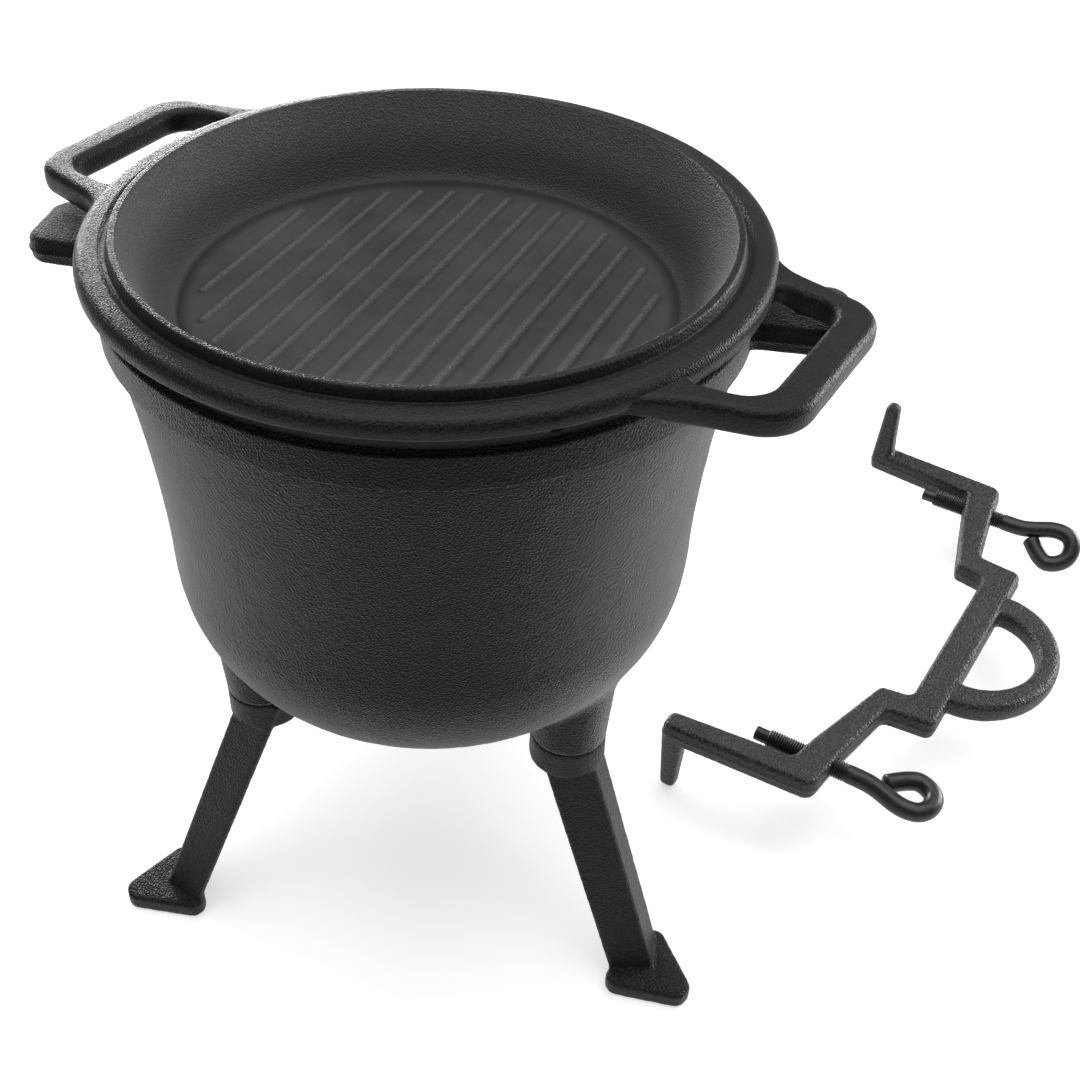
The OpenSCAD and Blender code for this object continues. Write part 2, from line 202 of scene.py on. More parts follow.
class Shape:
    """Vertices in millimetres and faces, gathered from several surfaces."""

    def __init__(self):
        self.co, self.faces, self.count = [], [], 0

    def add(self, co, faces):
        """Adds points, and faces that count from the first of them."""
        self.co.append(np.asarray(co, float))
        self.faces.extend([i + self.count for i in f] for f in faces)
        self.count += len(co)

    def grid(self, p, wrap_u=False, wrap_v=False):
        """A sheet of quads over an array of points p[u][v]."""
        nu, nv = p.shape[:2]
        faces = []
        for i in range(nu if wrap_u else nu - 1):
            for j in range(nv if wrap_v else nv - 1):
                a, b = i * nv + j, i * nv + (j + 1) % nv
                c, d = ((i + 1) % nu) * nv + (j + 1) % nv, ((i + 1) % nu) * nv + j
                faces.append([a, b, c, d])
        self.add(p.reshape(-1, 3), faces)

    def object(self, name, merge=0.01):
        """A Blender object in metres, with coincident points merged."""
        mesh = bpy.data.meshes.new(name)
        mesh.from_pydata((np.vstack(self.co) * MM).tolist(), [], self.faces)
        bm = bmesh.new()
        bm.from_mesh(mesh)
        bmesh.ops.remove_doubles(bm, verts=bm.verts, dist=merge * MM)
        bmesh.ops.dissolve_degenerate(bm, edges=bm.edges, dist=1e-7)
        bmesh.ops.recalc_face_normals(bm, faces=bm.faces)
        for f in bm.faces:
            f.smooth = True
        bm.to_mesh(mesh)
        bm.free()
        obj = bpy.data.objects.new(name, mesh)
        bpy.context.scene.collection.objects.link(obj)
        return obj


def turned(p, degrees):
    """Points turned about the Z axis."""
    c, s = math.cos(math.radians(degrees)), math.sin(math.radians(degrees))
    out = np.array(p, float)
    out[..., 0], out[..., 1] = p[..., 0] * c - p[..., 1] * s, p[..., 0] * s + p[..., 1] * c
    return out


def turned_about_x(p, degrees):
    """Points turned about the X axis."""
    c, s = math.cos(math.radians(degrees)), math.sin(math.radians(degrees))
    return np.stack([p[..., 0], p[..., 1] * c - p[..., 2] * s, p[..., 1] * s + p[..., 2] * c], -1)


def spoke(r, degrees):
    """The point at a radius and an angle."""
    return turned(np.array([r, 0.0]), degrees)


def lathe(shape, profile, segments):
    """A surface of revolution from (radius, height) points."""
    a = np.arange(segments) * 2 * np.pi / segments
    p = np.stack([np.outer(np.cos(a), profile[:, 0]), np.outer(np.sin(a), profile[:, 0]),
                  np.tile(profile[:, 1], (segments, 1))], -1)
    shape.grid(p, wrap_u=True)


def plate_rows(low, high, edge, draft, ridge):
    """Rows up a plate's side, each as how far inside the outline it stands, and its height."""
    middle = (low + high) / 2
    lower = []
    for k in range(EDGE_STEPS + 1):
        t = math.pi / 2 * k / EDGE_STEPS
        lower.append((edge * (1 - math.sin(t)), low + edge * (1 - math.cos(t))))
    upper = [(d, high + low - z) for d, z in reversed(lower)]
    # The mould's halves meet in a small ridge halfway up.
    parting = [(-ridge * f, middle + dz) for f, dz in ((0, -0.9), (1, -0.35), (1, 0.35), (0, 0.9))]
    return [(d + draft * abs(z - middle), z) for d, z in lower + parting + upper]


def flat_face(rings, spacing):
    """Points and triangles that fill the first ring and leave the others open as holes."""
    flat = [r[:, :2] for r in rings]
    outer, holes = flat[0], flat[1:]
    lo, hi = outer.min(0), outer.max(0)
    gx, gy = np.meshgrid(np.arange(lo[0], hi[0], spacing), np.arange(lo[1], hi[1], spacing))
    inner = np.column_stack([gx.ravel(), gy.ravel()])
    keep = inside(inner, inset(outer, spacing * 0.6))
    for hole in holes:
        keep &= ~inside(inner, inset(hole, spacing * 0.6))
    edges, start = [], 0
    for r in flat:
        edges += [(start + i, start + (i + 1) % len(r)) for i in range(len(r))]
        start += len(r)
    points = [Vector(p) for p in np.vstack(flat + [inner[keep]])]
    co, _, tris, *_ = geometry.delaunay_2d_cdt(points, edges, [], 0, 1e-6)
    co = np.array([c[:] for c in co])
    mids = np.array([co[list(t)].mean(0) for t in tris])
    filled = inside(mids, outer)
    for hole in holes:
        filled &= ~inside(mids, hole)
    face = np.column_stack([co, np.full(len(co), rings[0][0, 2])])
    return face, [list(t) for t, good in zip(tris, filled) if good]


def as_it_is(p):
    """Points left where they are."""
    return p


def slab(shape, outer, holes, low, high, edge, place=as_it_is, draft=0.0, ridge=0.0, spacing=3.0):
    """A plate between two heights with rounded edges, drafted sides and holes, then placed."""
    rows = plate_rows(low, high, edge, draft, ridge)
    sides = []
    for loop in [resample(outer, spacing, True)] + [resample(h, spacing, True)[::-1] for h in holes]:
        sides.append(np.stack([np.column_stack([inset(loop, d), np.full(len(loop), z)]) for d, z in rows]))
        shape.grid(place(sides[-1]), wrap_v=True)
    for end in (0, -1):
        face, triangles = flat_face([side[end] for side in sides], spacing)
        shape.add(place(face), triangles)


def closed_bar(shape, p):
    """A skin over rows of points p[row][turn], with a flat face at each end."""
    shape.grid(p, wrap_v=True)
    for end in (0, -1):
        shape.add(p[end], [list(range(p.shape[1]))])


def tube(shape, path, radius, sides):
    """A round bar along a path of points, with domed ends."""
    path = np.asarray(path, float)
    radius = np.full(len(path), radius, float) if np.isscalar(radius) else np.asarray(radius, float)
    tangent = np.gradient(path, axis=0)
    tangent /= np.linalg.norm(tangent, axis=1)[:, None]
    side = np.cross(tangent[0], [0.0, 0.0, 1.0])
    rings = []
    # Each ring keeps the last one's side, square to the path, so the bar doesn't twist.
    for p, t, r in zip(path, tangent, radius):
        side = side - t * (side @ t)
        side /= np.linalg.norm(side)
        other = np.cross(t, side)
        a = np.arange(sides) * 2 * np.pi / sides
        rings.append(p + r * (np.outer(np.cos(a), side) + np.outer(np.sin(a), other)))
    for end, sign in ((0, -1), (-1, 1)):
        centre, t, r, ring = path[end], tangent[end], radius[end], rings[end]
        dome = [centre + (ring - centre) * math.cos(b) + sign * t * r * 0.45 * math.sin(b)
                for b in np.radians([30, 60, 80, 90])]
        rings = dome[::-1] + rings if end == 0 else rings + dome
    shape.grid(np.stack(rings), wrap_v=True)


def smooth_line(corners, count):
    """A Catmull-Rom curve through the points, evenly spaced along its length."""
    p = np.vstack([2 * corners[0] - corners[1], corners, 2 * corners[-1] - corners[-2]])
    t = np.linspace(0, 1, CURVE_STEPS, endpoint=False)[:, None]
    run = [0.5 * (2 * b + (c - a) * t + (2 * a - 5 * b + 4 * c - d) * t ** 2
                  + (3 * b - a - 3 * c + d) * t ** 3)
           for a, b, c, d in zip(p[:-3], p[1:-2], p[2:-1], p[3:])]
    run = np.vstack(run + [corners[-1:]])
    along = np.append(0, np.cumsum(np.linalg.norm(np.diff(run, axis=0), axis=1)))
    even = np.linspace(0, along[-1], count)
    return np.stack([np.interp(even, along, run[:, k]) for k in range(3)], 1)


def apply_modifiers(obj):
    """Replaces the object's mesh by its mesh with all modifiers applied."""
    bpy.context.view_layer.update()
    done = bpy.data.meshes.new_from_object(obj.evaluated_get(bpy.context.evaluated_depsgraph_get()))
    obj.modifiers.clear()
    obj.data = done


def fuse(obj, voxel, smooth):
    """Fuses crossing shapes into one skin, with the soft corners of a casting."""
    mod = obj.modifiers.new("fuse", "REMESH")
    mod.mode, mod.voxel_size, mod.adaptivity = "VOXEL", voxel * MM, 0.0
    mod.use_smooth_shade = True
    mod = obj.modifiers.new("soften", "SMOOTH")
    mod.factor, mod.iterations = 0.5, smooth
    apply_modifiers(obj)


def vectors(items, key):
    """One vector of each item as an array of rows."""
    out = np.empty(len(items) * 3)
    items.foreach_get(key, out)
    return out.reshape(-1, 3)


def move_points(mesh, co):
    """Puts a mesh's points at new places."""
    mesh.vertices.foreach_set("co", co.ravel())
    mesh.update()


def cast_skin(obj, depth, grain, seed):
    """Moves each point a little along its normal, as a sand mould leaves its skin."""
    mesh = obj.data
    co, normal = vectors(mesh.vertices, "co"), vectors(mesh.vertex_normals, "vector")
    at = co / (grain * MM) + seed
    lift = np.array([noise.noise(p) + 0.6 * noise.noise(p * 0.37) for p in map(Vector, at.tolist())])
    move_points(mesh, co + normal * (lift * depth * MM)[:, None])


# ---- materials -------------------------------------------------------------

class Graph:
    """A new material's nodes, with short ways to add the kinds used here."""

    def __init__(self, name):
        self.material = bpy.data.materials.new(name)
        self.material.use_nodes = True
        self.nodes, self.links = self.material.node_tree.nodes, self.material.node_tree.links
        self.shader = self.nodes["Principled BSDF"]
        self.where = self.nodes.new("ShaderNodeTexCoord").outputs["Object"]

    def put(self, value, socket):
        """Sets a socket to a number or a colour, or links an output to it."""
        if isinstance(value, tuple):
            socket.default_value = (*value, 1)
        elif isinstance(value, (int, float)):
            socket.default_value = value
        else:
            self.links.new(value, socket)

    def put_all(self, node, **values):
        """Sets or links several of a node's inputs, named with _ for a space."""
        for key, value in values.items():
            self.put(value, node.inputs[key.replace("_", " ")])

    def noise(self, scale, detail, roughness=0.5, distortion=0.0):
        """Noise over the object's own coordinates."""
        node = self.nodes.new("ShaderNodeTexNoise")
        self.put_all(node, Vector=self.where, Scale=scale, Detail=detail, Roughness=roughness,
                     Distortion=distortion)
        return node.outputs["Fac"]

    def spread(self, source, lo, hi, to_lo, to_hi):
        """A range of the source, from lo to hi, made into another range."""
        node = self.nodes.new("ShaderNodeMapRange")
        self.put_all(node, Value=source, From_Min=lo, From_Max=hi, To_Min=to_lo, To_Max=to_hi)
        return node.outputs["Result"]

    def ramp(self, source, low, high):
        """Colours between two stops (place, colour)."""
        node = self.nodes.new("ShaderNodeValToRGB")
        for stop, (place, colour) in zip(node.color_ramp.elements, (low, high)):
            stop.position, stop.color = place, (*colour, 1)
        self.put(source, node.inputs["Fac"])
        return node.outputs["Color"]

    def blend(self, factor, a, b, kind="RGBA"):
        """A mix of two colours, or of two numbers with the kind FLOAT."""
        node = self.nodes.new("ShaderNodeMix")
        node.data_type = kind
        wanted = "RGBA" if kind == "RGBA" else "VALUE"
        a_in, b_in = [s for s in node.inputs if s.type == wanted][-2:]
        for value, socket in ((factor, node.inputs["Factor"]), (a, a_in), (b, b_in)):
            self.put(value, socket)
        return next(s for s in node.outputs if s.type == wanted)

    def maths(self, operation, a, b):
        """The sum or product of two outputs."""
        node = self.nodes.new("ShaderNodeMath")
        node.operation = operation
        self.put(a, node.inputs[0])
        self.put(b, node.inputs[1])
        return node.outputs[0]

    def bumps(self, *layers):
        """One bump after another, each from (height, strength, depth in millimetres)."""
        last = None
        for height, strength, depth in layers:
            node = self.nodes.new("ShaderNodeBump")
            self.put_all(node, Height=height, Strength=strength, Distance=depth * MM)
            if last is not None:
                self.put(last, node.inputs["Normal"])
            last = node.outputs["Normal"]
        self.put(last, self.shader.inputs["Normal"])


def grey(v):
    """A grey that is barely cool."""
    return (v, v, v * 1.02)


def brighter(colour, factor):
    """A colour made brighter, up to white."""
    return tuple(min(1, c * factor) for c in colour)


def cast_iron(name, dark, light, rough, spec, grain, bump, painted_edge_highlight, sheen=0.0, pan=None):
    """Black cast iron: sand grain, soft mottling and a painted highlight on convex edges, with other greys,
    painted shade and painted highlights inside a pan.
    """
    g = Graph(name)
    g.put_all(g.shader, Specular_IOR_Level=spec, Sheen_Weight=sheen, Sheen_Roughness=0.35)
    cells = g.nodes.new("ShaderNodeTexVoronoi")
    g.put_all(cells, Vector=g.where, Scale=1250 / grain)
    sand, pits, mottle = cells.outputs["Distance"], g.noise(700 / grain, 1), g.noise(26, 4, 0.6, 0.4)
    speck = g.maths("ADD", g.spread(mottle, 0, 1, 0.1, 0.4), g.spread(sand, 0.2, 0.8, 0.1, 0.5))
    colour = g.ramp(speck, (0.36, dark), (0.70, light))
    gloss = g.spread(speck, 0.3, 0.75, rough - 0.10, rough + 0.14)
    # Painted highlight: convex edges, found by pointiness, are lightened in the colour.
    edges = g.nodes.new("ShaderNodeNewGeometry").outputs["Pointiness"]
    colour = g.blend(g.spread(edges, 0.525, 0.60, 0.0, painted_edge_highlight), colour, brighter(light, 3.2))
    height = sand
    if pan:
        inner, raised, tint = pan_inside(g, pan, dark, mottle, speck)
        colour = tint(colour)
        height = g.maths("MULTIPLY", sand, g.blend(inner, 1.0, raised, "FLOAT"))
        gloss = g.blend(inner, gloss, 0.6, "FLOAT")
    g.put_all(g.shader, Base_Color=colour, Roughness=gloss)
    g.bumps((pits, bump * 0.3, 0.4), (height, bump, 0.5))
    return g.material


def pan_inside(g, tones, dark, mottle, speck):
    """Where a pan's inside is, how raised its grain is there, and what gives it its greys, with painted
    shade round the floor and painted highlights on the ribs.
    """
    apart = g.nodes.new("ShaderNodeSeparateXYZ")
    g.put(g.where, apart.inputs[0])
    flat = g.nodes.new("ShaderNodeCombineXYZ")
    g.put_all(flat, X=apart.outputs["X"], Y=apart.outputs["Y"])
    length = g.nodes.new("ShaderNodeVectorMath")
    length.operation = "LENGTH"
    g.put(flat.outputs[0], length.inputs[0])
    out_from, up_from = length.outputs["Value"], apart.outputs["Z"]

    def between(source, lo, hi, to_lo=0.0, to_hi=1.0):
        """A change between two places in millimetres."""
        return g.spread(source, lo * MM, hi * MM, to_lo, to_hi)

    inner = g.maths("MULTIPLY", between(out_from, PAN_MOUTH_R + 0.8, PAN_MOUTH_R - 0.8),
                    between(up_from, FLOOR_Z - 2, FLOOR_Z - 1))
    # Ribs and wall keep their sand grain; the floor between the ribs is drawn smooth.
    raised = between(up_from, FLOOR_Z + 0.3, FLOOR_Z + 1.1, 0.3, 3.0)

    def tint(colour):
        """Mottled floor, sandy ribs and wall, painted shade in a dark band round the floor, and painted
        highlights on the ribs' crests.
        """
        sandy = between(up_from, FLOOR_Z + 0.3, FLOOR_Z + 1.1)
        tone = g.ramp(g.blend(sandy, g.spread(mottle, 0, 1, 0.3, 0.7), speck, "FLOAT"),
                      (0.34, tones[0]), (0.68, tones[1]))
        colour = g.blend(inner, colour, tone)
        # Painted shade: a dark band is blended into the colour where the pan's floor runs into its wall.
        corner = g.maths("MULTIPLY", between(out_from, PAN_FLOOR_R - 9, PAN_FLOOR_R - 3, 0.0, 0.97),
                         between(out_from, PAN_FLOOR_R + 5, PAN_FLOOR_R + 11, 1.0, 0.0))
        colour = g.blend(g.maths("MULTIPLY", inner, corner), colour, dark)
        # Painted highlight: the ribs' crests are lightened in the colour.
        painted_rib_highlight = g.maths("MULTIPLY", inner, between(up_from, FLOOR_Z + 0.5, FLOOR_Z + 1.4, 0.0, 0.30))
        return g.blend(painted_rib_highlight, colour, brighter(tones[1], 2.2))

    return inner, raised, tint


def black_steel(name):
    """Blackened steel, fairly smooth, with fine drawing marks."""
    g = Graph(name)
    marks = g.noise(420, 4)
    g.put_all(g.shader, Metallic=0.25, Roughness=g.spread(marks, 0, 1, 0.28, 0.46),
              Base_Color=g.ramp(marks, (0.3, (0.008, 0.008, 0.009)), (0.75, (0.028, 0.028, 0.030))))
    g.bumps((marks, 0.2, 0.1))
    return g.material


MATS = {
    "cast_pot": cast_iron("cast_pot", grey(0.002), grey(0.007), rough=0.42, spec=0.05, grain=1.1,
                          bump=0.9, painted_edge_highlight=0.35, sheen=0.60),
    "cast_lid": cast_iron("cast_lid", grey(0.003), grey(0.012), rough=0.38, spec=0.16, grain=1.15,
                          bump=0.4, painted_edge_highlight=0.5, sheen=0.08, pan=(grey(0.016), grey(0.064))),
    "cast_leg": cast_iron("cast_leg", grey(0.002), grey(0.015), rough=0.40, spec=0.18, grain=1.4,
                          bump=0.9, painted_edge_highlight=0.6, sheen=0.05),
    "cast_clamp": cast_iron("cast_clamp", grey(0.005), grey(0.036), rough=0.38, spec=0.30, grain=1.7,
                            bump=0.9, painted_edge_highlight=0.9),
    "black_steel": black_steel("black_steel"),
}


def finish_piece(obj, body, slot, *nodes):
    """Gives a piece its material and its body, and hides the CAD nodes it stands for."""
    obj.data.materials.clear()
    obj.data.materials.append(MATS[slot])
    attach(obj, body)
    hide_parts(*nodes)


# ---- pot -------------------------------------------------------------------

def bowl(skin, top_r, steps=60):
    """The bowl's side from the middle of its bottom up to the band, moved inwards by skin."""
    a = np.linspace(math.pi / 2, 0, steps)
    r = (BELLY_R - skin) * np.maximum(np.cos(a), 0) ** (2 / BOWL_POWER)
    z = BELLY_Z - (BOTTOM - skin) * np.sin(a) ** (2 / BOWL_POWER)
    t = np.linspace(0, 1, 34)[1:]
    r2 = BELLY_R - skin + (top_r - BELLY_R + skin) * t ** FLARE
    z2 = BELLY_Z + t * (BAND_Z - 4 - BELLY_Z)
    r[0] = 0.0
    return np.column_stack([np.append(r, r2), np.append(z, z2)])


def bowl_height(r):
    """Height of the bowl's outer side at a radius."""
    line = bowl(0, SHOULDER_R, 400)
    return np.interp(r, line[:, 0], line[:, 1])


def boss(shape, turn):
    """A leg's boss: a slightly widening round post that flows into the bowl in a fillet."""
    columns = []
    for phi in np.linspace(0, 2 * np.pi, 96, endpoint=False):
        way = np.array([math.cos(phi), math.sin(phi), 0.0])

        def wall(z):
            """The post's side at a height."""
            return np.array([BOSS_R, 0.0, z]) + way * (HEAD_R + BOSS_GROW * (z - BOSS_Z))

        def on_bowl(p):
            """The bowl's side under or over a point."""
            return np.array([p[0], p[1], bowl_height(np.hypot(*p[:2]))])

        hit = next(z for z in np.arange(BOSS_Z, 240, 0.25) if on_bowl(wall(z))[2] <= z)
        meet = wall(hit)
        low, high = wall(max(hit - FILLET_DOWN, BOSS_Z + 3)), on_bowl(meet + way * FILLET_OUT)
        column = [wall(BOSS_Z + up) - way * back for up, back in ((0, 1.2), (0.35, 0.35), (1.2, 0))]
        column += [wall(z) for z in np.linspace(BOSS_Z + 2.4, low[2], 6)]
        for t in np.linspace(0, 1, 11)[1:]:
            column.append((1 - t) ** 2 * low + 2 * t * (1 - t) * meet + t * t * high)
        # The last point lies inside the bowl's wall, so the skins cross.
        column.append(on_bowl(meet + way * (FILLET_OUT + 1.5)) + [0, 0, 0.4])
        columns.append(column)
    post = np.array(columns)
    shape.grid(turned(post, turn), wrap_u=True)
    ring, middle = post[:, 0], np.array([BOSS_R, 0, BOSS_Z])
    # The underside closes in to the bolt's hole.
    underside = np.stack([ring, middle + (ring - middle) * 0.24], 1)
    shape.grid(turned(underside, turn), wrap_u=True)


def pot():
    """The pot's casting: bowl, rim band, three bosses and two lugs."""
    shape = Shape()
    band = rounded([(SHOULDER_R, BAND_Z - 5, 0), (SHOULDER_R + 0.3, BAND_Z - 1.0, 1.4),
                    (RIM_R - 0.7, BAND_Z + 0.8, 0.6), (RIM_R, RIM_Z, 1.3), (MOUTH_R, RIM_Z, 1.6),
                    (MOUTH_R, BAND_Z + 6, 3), (MOUTH_R, BAND_Z - 4, 0)], closed=False)
    profile = np.vstack([bowl(0, SHOULDER_R), resample(band[1:-1], 2.5), bowl(WALL, MOUTH_R)[::-1]])
    lathe(shape, profile, 300)
    for turn in LEG_TURNS.values():
        boss(shape, turn)
    lug = ccw(rounded(mirrored([(RIM_R - 9, LUG_HALF + 15, 1), (RIM_R - 1.0, LUG_HALF + 1.2, 7),
                                (LUG_REACH, LUG_HALF, 10)])))
    top = RIM_Z - 0.5
    for side in (0, 180):
        slab(shape, lug, [], top - LUG_T, top, 2.2, lambda p, s=side: turned(p, LUG_TURN + s),
             draft=0.12, ridge=0.45, spacing=2.5)
    obj = shape.object("pot_casting")
    cast_skin(obj, depth=0.16, grain=4.0, seed=3.1)
    finish_piece(obj, "pot", "cast_pot", "pot_body")


# ---- lid -------------------------------------------------------------------

def lid_profile():
    """The pan's and flange's half section, from the middle of the floor round to its underside."""
    skirt_r = PAN_FLOOR_R + (PAN_MOUTH_R - PAN_FLOOR_R) * (RIM_Z - FLOOR_Z) / (LIP_Z - FLOOR_Z) + 5.5
    return rounded([
        (0, FLOOR_Z, 0), (PAN_FLOOR_R - 1.5, FLOOR_Z, 9), (PAN_MOUTH_R, LIP_Z, 0.9),
        (PAN_MOUTH_R + 3.2, LIP_Z, 1.5), (PAN_MOUTH_R + 4.4, FLANGE_TOP - 0.9, 0.7),
        (PAN_MOUTH_R + 6.0, FLANGE_TOP - 0.8, 0.9), (PAN_MOUTH_R + 7.8, FLANGE_TOP, 1.2),
        (FLANGE_R, FLANGE_TOP - 0.6, 5.2), (FLANGE_R - 0.3, FLANGE_Z, 1.5), (RIM_R - 3, FLANGE_Z, 0.8),
        (RIM_R - 3, RIM_Z + 0.3, 0.8), (MOUTH_R - 1.2, RIM_Z + 0.3, 0.8), (skirt_r, RIM_Z - 4, 2),
        (PAN_FLOOR_R + 4.5, FLOOR_Z, 8), (PAN_FLOOR_R - 3, FLOOR_Z - 5, 3), (0, FLOOR_Z - 5, 0)],
        closed=False, step=11)


def lid_handles(shape):
    """Two loop handles, cast on the flange opposite each other."""
    top, bar_x = FLANGE_TOP - HANDLE_DROP, HANDLE_REACH - HANDLE_BAR
    arc = [spoke(FLANGE_R - 0.6, a) for a in np.linspace(-16.6, 16.6, 13)]
    gap = [(x, y, 4.5 if i in (0, 12) else 0) for i, (x, y) in enumerate(arc)]
    gap = rounded(gap + [(bar_x, 38, 12), (bar_x, -38, 14)])
    # The inner edge follows the flange's underside, so nothing shows inside the pan.
    root = [(*spoke(136.0, a), 0) for a in np.linspace(-33, 33, 23)]
    near, far = spoke(FLANGE_R - 1.2, -40), spoke(FLANGE_R - 1.2, 36)
    outer = rounded([(HANDLE_REACH, 45, 20), (HANDLE_REACH, -45, 22), (133.2, -58.4, 55), (*near, 0)]
                    + root + [(*far, 0), (136.2, 56.6, 30)], step=6)

    def placed(p, side):
        """The handle's underside rises into the flange at its root."""
        p = np.array(p, float)
        lowest = FLANGE_Z + 0.8 - np.maximum(np.hypot(p[..., 0], p[..., 1]) - FLANGE_R + 4, 0) * 0.55
        p[..., 2] = np.maximum(p[..., 2], lowest)
        return turned(p, LID_TURN + side)

    for side in (0, 180):
        slab(shape, ccw(outer), [ccw(gap)], top - HANDLE_T, top, 3.6,
             lambda p, s=side: placed(p, s), draft=0.05, spacing=2.4)


def lid():
    """The lid's casting: pan, flange, ribs and two handles."""
    shape = Shape()
    lathe(shape, resample(lid_profile(), 3.0), 288)
    ribs(shape)
    lid_handles(shape)
    obj = shape.object("lid_casting")
    cast_skin(obj, depth=0.10, grain=4.5, seed=7.7)
    finish_piece(obj, "lid", "cast_lid", "lid_grill_pan")


def ribs(shape):
    """Soft-topped grill ribs across the pan's floor, rounded off at both ends."""
    across = np.linspace(-1, 1, 15)
    section = np.cos(across * math.pi / 2) ** 1.5
    for i in range(RIBS):
        x = (i - (RIBS - 1) / 2) * RIB_PITCH
        half = math.sqrt(RIB_REACH ** 2 - x * x) + 1.5
        along = np.concatenate([np.linspace(-half, -half + 5, 9), np.linspace(-half + 7, half - 7, 40),
                                np.linspace(half - 5, half, 9)])
        rows = []
        for y in along:
            fade = math.sin(min(1.0, (half - abs(y)) / 4.0) * math.pi / 2)
            width = RIB_W * 0.95 * (0.35 + 0.65 * fade)
            rows.append([[x + u * width, y, FLOOR_Z - 0.15 + (RIB_H - 0.6) * fade * h]
                         for u, h in zip(across, section)])
        shape.grid(turned(np.array(rows), RIB_TURN))


# ---- legs ------------------------------------------------------------------

def angle_section():
    """Outline of a leg's angle section at the foot, from its outer corner."""
    first, open_by = math.radians(180 - ANGLE_OPEN / 2 + ANGLE_TURN), math.radians(ANGLE_OPEN)
    tip_a, tip_b = ANGLE_LEN * direction(first), ANGLE_LEN * direction(first + open_by)
    back_a = tip_a + ANGLE_T * direction(first + math.pi / 2)
    back_b = tip_b + ANGLE_T * direction(first + open_by - math.pi / 2)
    heel = ANGLE_T / math.sin(open_by / 2) * direction(first + open_by / 2)
    return rounded([(0.0, 0.0, 2.2), (*tip_a, 1.6), (*back_a, 1.6), (*heel, 4.0), (*back_b, 1.6),
                    (*tip_b, 1.6)], step=20)


def leg(name):
    """Angle-section leg with a round head and a flat foot pad, fused into one casting."""
    shape = Shape()
    section, slope = angle_section(), (RIDGE_FOOT - RIDGE_TOP) / BOSS_Z
    rows = []
    for z in np.linspace(2, BOSS_Z - 2.5, 36):
        grow = 1 + LEG_GROW * z / BOSS_Z
        rows.append(np.column_stack([section * grow + [RIDGE_FOOT - slope * z, 0],
                                     np.full(len(section), z)]))
    closed_bar(shape, np.stack(rows))
    slab(shape, circle(BOSS_R, HEAD_R, 72), [circle(BOSS_R, BOLT_HOLE_R, 32)], BOSS_Z - HEAD_T,
         BOSS_Z - 0.1, 1.6)
    pad = rounded([(RIDGE_FOOT - 22, 27, 7), (RIDGE_FOOT - 22, -27, 7), (PAD_REACH + 4, -5, 7),
                   (PAD_REACH + 4, 5, 7)])
    slab(shape, ccw(pad), [], 0.1, PAD_T, 1.8)
    obj = shape.object(name + "_casting")
    fuse(obj, voxel=0.95, smooth=5)
    co = turned(vectors(obj.data.vertices, "co"), LEG_TURNS[name])
    co[:, 2] = np.maximum(co[:, 2], 0.0)
    move_points(obj.data, co)
    cast_skin(obj, depth=0.16, grain=2.6, seed=11.3)
    finish_piece(obj, "pot", "cast_leg", name)


# ---- clamp -----------------------------------------------------------------

def at_clamp(p):
    """Points of the clamp's own frame, moved to where it lies."""
    return p + CLAMP_AT


def stepped_plate(shape):
    """The clamp's stepped plate: its middle and both arms."""
    half = [(MIDDLE_H, MIDDLE_HALF, 6), (ARM_H + 12, MIDDLE_HALF + 3, 5), (ARM_H + 3, SCREW_Y - 2, 18),
            (ARM_H, ARM_Y + 4, 8), (-7.0, ARM_Y + 9, 5), (-7.0, ARM_Y - 6, 5),
            (ARM_H - 20, ARM_Y - 13, 4), (ARM_H - 16, SCREW_Y - 9, 5), (ARM_H + 1, MIDDLE_HALF - 15, 5),
            (MIDDLE_H - MIDDLE_W - 3, MIDDLE_HALF - 18, 5)]
    slab(shape, ccw(rounded(mirrored(half))), [], -CLAMP_T / 2, CLAMP_T / 2, 2.8, at_clamp,
         draft=0.08, ridge=0.5)


def hanging_ring(shape):
    """The D-shaped ring on the clamp's middle."""
    a = np.radians(np.arange(-90, 91, 5))
    ring = [(MIDDLE_H + RING_H * math.cos(b), RING_HALF * math.sin(b)) for b in a]
    ring = np.array([(MIDDLE_H - 5, -RING_HALF)] + ring + [(MIDDLE_H - 5, RING_HALF)])
    hole_half, hole_h = RING_HALF - RING_W * 1.4, RING_H - RING_W
    hole = rounded([(MIDDLE_H + 0.2, -hole_half + 1, 3)]
                   + [(MIDDLE_H + hole_h * math.cos(b), hole_half * math.sin(b), 0) for b in a[1:-1]]
                   + [(MIDDLE_H + 0.2, hole_half - 1, 3)])
    half_t = CLAMP_T / 2 - 0.4
    slab(shape, ccw(ring), [ccw(hole)], -half_t, half_t, 4.2, at_clamp, draft=0.06)


def hook(shape, side):
    """A tapered square hook with a domed tip: the near one points down and the far one up."""
    rows = []
    for t in np.linspace(0, 1, 18):
        size = HOOK_ROOT + (HOOK_TIP - HOOK_ROOT) * t
        if t > 0.93:
            size *= math.sqrt(max(0.12, 1 - ((t - 0.93) / 0.07) ** 2 * 0.85))
        square = rounded([(x * size, y * size, size * 0.6) for x, y in ((1, 1), (-1, 1), (-1, -1), (1, -1))],
                         step=18)
        rows.append(np.column_stack([square + [0, side * (ARM_Y + 1)],
                                     np.full(len(square), side * HOOK_LEN * t)]))
    closed_bar(shape, at_clamp(np.stack(rows)))


def bore(obj, side):
    """Cuts an eye screw's bore through the clamp's arm."""
    drill = Shape()
    tube(drill, [CLAMP_AT + [x, side * SCREW_Y, 0] for x in (ARM_H - 30, ARM_H - 10, ARM_H + 16)],
         BORE_R + 0.12, 48)
    cutter = drill.object("bore")
    mod = obj.modifiers.new("bore", "BOOLEAN")
    mod.operation, mod.object, mod.solver = "DIFFERENCE", cutter, "EXACT"
    apply_modifiers(obj)
    bpy.data.objects.remove(cutter)


